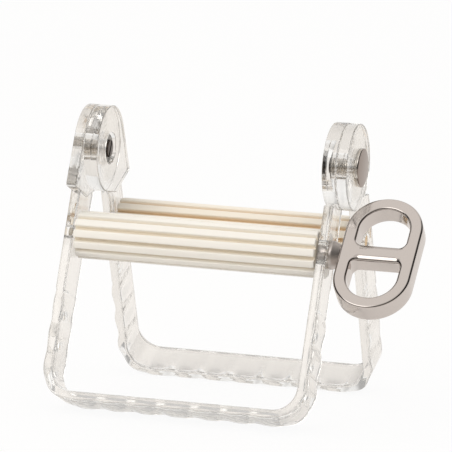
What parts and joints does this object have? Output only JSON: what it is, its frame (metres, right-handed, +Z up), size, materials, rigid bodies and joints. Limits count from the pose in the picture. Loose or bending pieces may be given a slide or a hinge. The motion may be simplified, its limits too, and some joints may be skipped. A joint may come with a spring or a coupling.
{
  "type": "toothpaste tube squeezer",
  "caption": "Tube squeezer with clear hinged frames, splined rollers across them and a metal turning key on the front roller.",
  "frame": {"origin": "on the floor, under the centre of the whole part's box", "axes": "+Z up, +X along the hinge towards the turning key, +Y from the front frame towards the rear frame"},
  "size_m": [0.1208, 0.0874, 0.0962],
  "materials": {
    "clear_plastic": "clear, polished",
    "cream_plastic": "satin",
    "chrome_plate": "bright plate",
    "spring_steel": "satin"
  },
  "bodies": {
    "front_frame": {"front_frame": "clear_plastic", "hinge_post_left": "chrome_plate", "hinge_post_right": "chrome_plate", "hinge_screw_left": "chrome_plate", "hinge_screw_right": "chrome_plate", "hinge_washer_left": "spring_steel", "hinge_washer_right": "spring_steel"},
    "rear_frame": {"rear_frame": "clear_plastic"},
    "front_roller": {"front_roller": "cream_plastic", "front_roller_plug_left": "cream_plastic", "front_roller_plug_driven": "cream_plastic", "turning_key": "chrome_plate"},
    "rear_roller": {"rear_roller": "cream_plastic", "rear_roller_plug_left": "cream_plastic", "rear_roller_plug_right": "cream_plastic"}
  },
  "joints": [
    {"name": "frame_fold", "type": "hinge", "parent": "front_frame", "child": "rear_frame", "pos_m": [-0.01177, 0, 0.08178], "axis": [-1, 0, 0], "range_deg": [0, 29]},
    {"name": "front_roller_spin", "type": "hinge", "parent": "front_frame", "child": "front_roller", "pos_m": [-0.01364, -0.01571, 0.05491], "axis": [1, 0, 0], "continuous": true},
    {"name": "rear_roller_spin", "type": "hinge", "parent": "rear_frame", "child": "rear_roller", "pos_m": [-0.00989, 0.01571, 0.05491], "axis": [1, 0, 0], "continuous": true}
  ]
}
